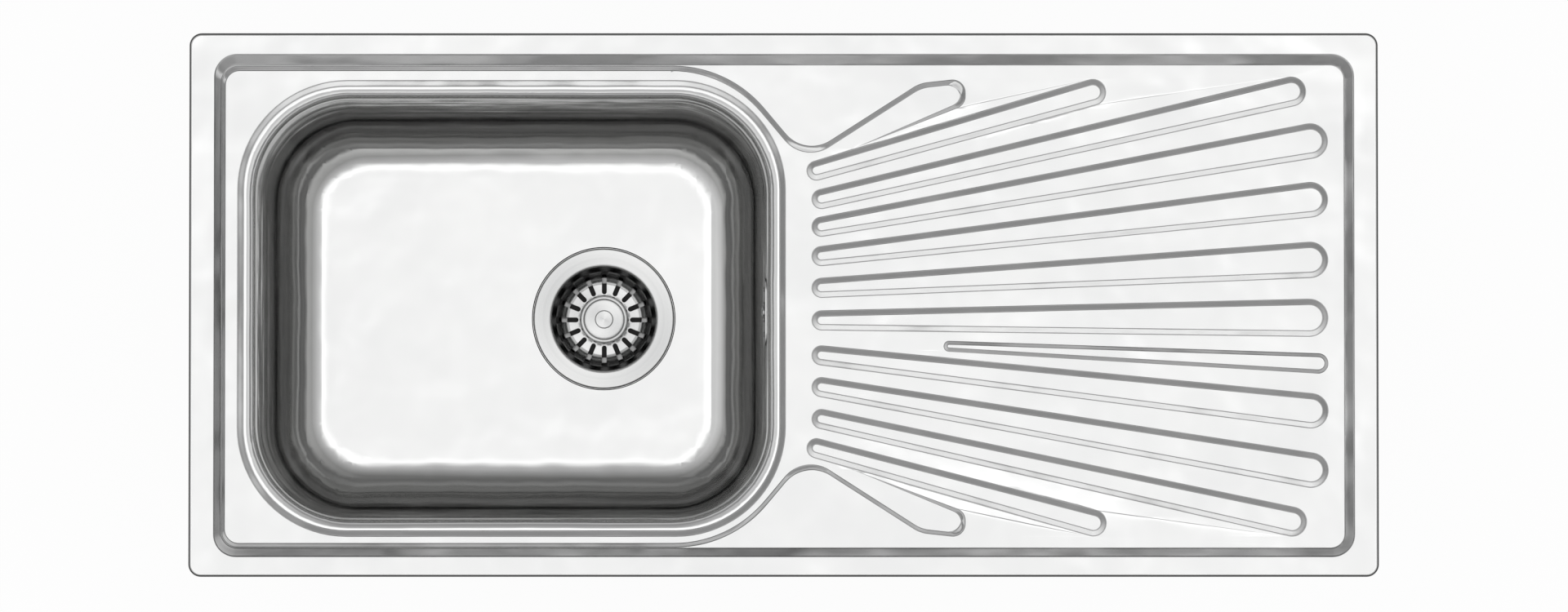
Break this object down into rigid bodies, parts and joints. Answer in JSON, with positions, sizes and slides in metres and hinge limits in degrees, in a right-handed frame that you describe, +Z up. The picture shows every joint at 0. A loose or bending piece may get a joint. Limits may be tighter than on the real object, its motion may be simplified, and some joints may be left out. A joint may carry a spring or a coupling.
{
  "type": "kitchen sink with drainboard",
  "caption": "Inset steel kitchen sink: one deep rounded bowl on the left, a ribbed drainboard on the right, a basket strainer, an overflow and worktop clips.",
  "frame": {"origin": "the middle of the sink's outline, on the plane of the worktop's top face, which the underside of the rim seal meets", "axes": "+X runs along the length towards the drainboard, +Y to the back, +Z up out of the bowl"},
  "size_m": [0.95, 0.435, 0.2612],
  "materials": {
    "pressed_steel": "polished, with a fine even grain",
    "bright_steel": "polished",
    "zinc_steel": "zinc plated, satin",
    "rubber": "matt",
    "bitumen_pad": "matt, fine grain",
    "white_plastic": "moulded, satin"
  },
  "bodies": {
    "sink": {"sink_deck": "pressed_steel", "sink_bowl": "pressed_steel", "rim_seal": "rubber", "sound_pad": "bitumen_pad", "strainer_cup": "bright_steel", "flange_seal": "rubber", "under_gasket": "rubber", "waste_body": "white_plastic", "waste_bolt": "bright_steel", "overflow_plate": "bright_steel", "overflow_screw": "bright_steel", "overflow_gasket": "rubber", "overflow_housing": "white_plastic", "overflow_hose": "white_plastic", "hose_nut_top": "white_plastic", "hose_nut_waste": "white_plastic", "clip_bracket_1": "zinc_steel", "clip_bracket_2": "zinc_steel", "clip_bracket_3": "zinc_steel", "clip_bracket_4": "zinc_steel", "clip_bracket_5": "zinc_steel", "clip_bracket_6": "zinc_steel", "clip_bracket_7": "zinc_steel", "clip_bracket_8": "zinc_steel", "clip_nut_1": "zinc_steel", "clip_nut_2": "zinc_steel", "clip_nut_3": "zinc_steel", "clip_nut_4": "zinc_steel", "clip_nut_5": "zinc_steel", "clip_nut_6": "zinc_steel", "clip_nut_7": "zinc_steel", "clip_nut_8": "zinc_steel"},
    "basket": {"basket": "bright_steel", "basket_knob": "bright_steel", "basket_stem": "bright_steel", "basket_stopper": "rubber"},
    "jaw_1": {"clip_jaw_1": "zinc_steel"},
    "screw_1": {"clip_screw_1": "zinc_steel"},
    "jaw_2": {"clip_jaw_2": "zinc_steel"},
    "screw_2": {"clip_screw_2": "zinc_steel"},
    "jaw_3": {"clip_jaw_3": "zinc_steel"},
    "screw_3": {"clip_screw_3": "zinc_steel"},
    "jaw_4": {"clip_jaw_4": "zinc_steel"},
    "screw_4": {"clip_screw_4": "zinc_steel"},
    "jaw_5": {"clip_jaw_5": "zinc_steel"},
    "screw_5": {"clip_screw_5": "zinc_steel"},
    "jaw_6": {"clip_jaw_6": "zinc_steel"},
    "screw_6": {"clip_screw_6": "zinc_steel"},
    "jaw_7": {"clip_jaw_7": "zinc_steel"},
    "screw_7": {"clip_screw_7": "zinc_steel"},
    "jaw_8": {"clip_jaw_8": "zinc_steel"},
    "screw_8": {"clip_screw_8": "zinc_steel"}
  },
  "joints": [
    {"name": "basket_lift", "type": "slide", "parent": "sink", "child": "basket", "axis": [0, 0, 1], "range_m": [0, 0.22]},
    {"name": "jaw_1_lift", "type": "slide", "parent": "sink", "child": "jaw_1", "axis": [0, 0, 1], "range_m": [0, 0.014]},
    {"name": "screw_1_turn", "type": "hinge", "parent": "jaw_1", "child": "screw_1", "pos_m": [-0.33, 0.1915, -0.04], "axis": [0, 0, 1], "range_deg": [0, 5040]},
    {"name": "jaw_2_lift", "type": "slide", "parent": "sink", "child": "jaw_2", "axis": [0, 0, 1], "range_m": [0, 0.014]},
    {"name": "screw_2_turn", "type": "hinge", "parent": "jaw_2", "child": "screw_2", "pos_m": [0.02, 0.1915, -0.04], "axis": [0, 0, 1], "range_deg": [0, 5040]},
    {"name": "jaw_3_lift", "type": "slide", "parent": "sink", "child": "jaw_3", "axis": [0, 0, 1], "range_m": [0, 0.014]},
    {"name": "screw_3_turn", "type": "hinge", "parent": "jaw_3", "child": "screw_3", "pos_m": [0.33, 0.1915, -0.04], "axis": [0, 0, 1], "range_deg": [0, 5040]},
    {"name": "jaw_4_lift", "type": "slide", "parent": "sink", "child": "jaw_4", "axis": [0, 0, 1], "range_m": [0, 0.014]},
    {"name": "screw_4_turn", "type": "hinge", "parent": "jaw_4", "child": "screw_4", "pos_m": [-0.33, -0.1915, -0.04], "axis": [0, 0, 1], "range_deg": [0, 5040]},
    {"name": "jaw_5_lift", "type": "slide", "parent": "sink", "child": "jaw_5", "axis": [0, 0, 1], "range_m": [0, 0.014]},
    {"name": "screw_5_turn", "type": "hinge", "parent": "jaw_5", "child": "screw_5", "pos_m": [0.02, -0.1915, -0.04], "axis": [0, 0, 1], "range_deg": [0, 5040]},
    {"name": "jaw_6_lift", "type": "slide", "parent": "sink", "child": "jaw_6", "axis": [0, 0, 1], "range_m": [0, 0.014]},
    {"name": "screw_6_turn", "type": "hinge", "parent": "jaw_6", "child": "screw_6", "pos_m": [0.33, -0.1915, -0.04], "axis": [0, 0, 1], "range_deg": [0, 5040]},
    {"name": "jaw_7_lift", "type": "slide", "parent": "sink", "child": "jaw_7", "axis": [0, 0, 1], "range_m": [0, 0.014]},
    {"name": "screw_7_turn", "type": "hinge", "parent": "jaw_7", "child": "screw_7", "pos_m": [-0.449, -0.0025, -0.04], "axis": [0, 0, 1], "range_deg": [0, 5040]},
    {"name": "jaw_8_lift", "type": "slide", "parent": "sink", "child": "jaw_8", "axis": [0, 0, 1], "range_m": [0, 0.014]},
    {"name": "screw_8_turn", "type": "hinge", "parent": "jaw_8", "child": "screw_8", "pos_m": [0.449, -0.0025, -0.04], "axis": [0, 0, 1], "range_deg": [0, 5040]}
  ]
}
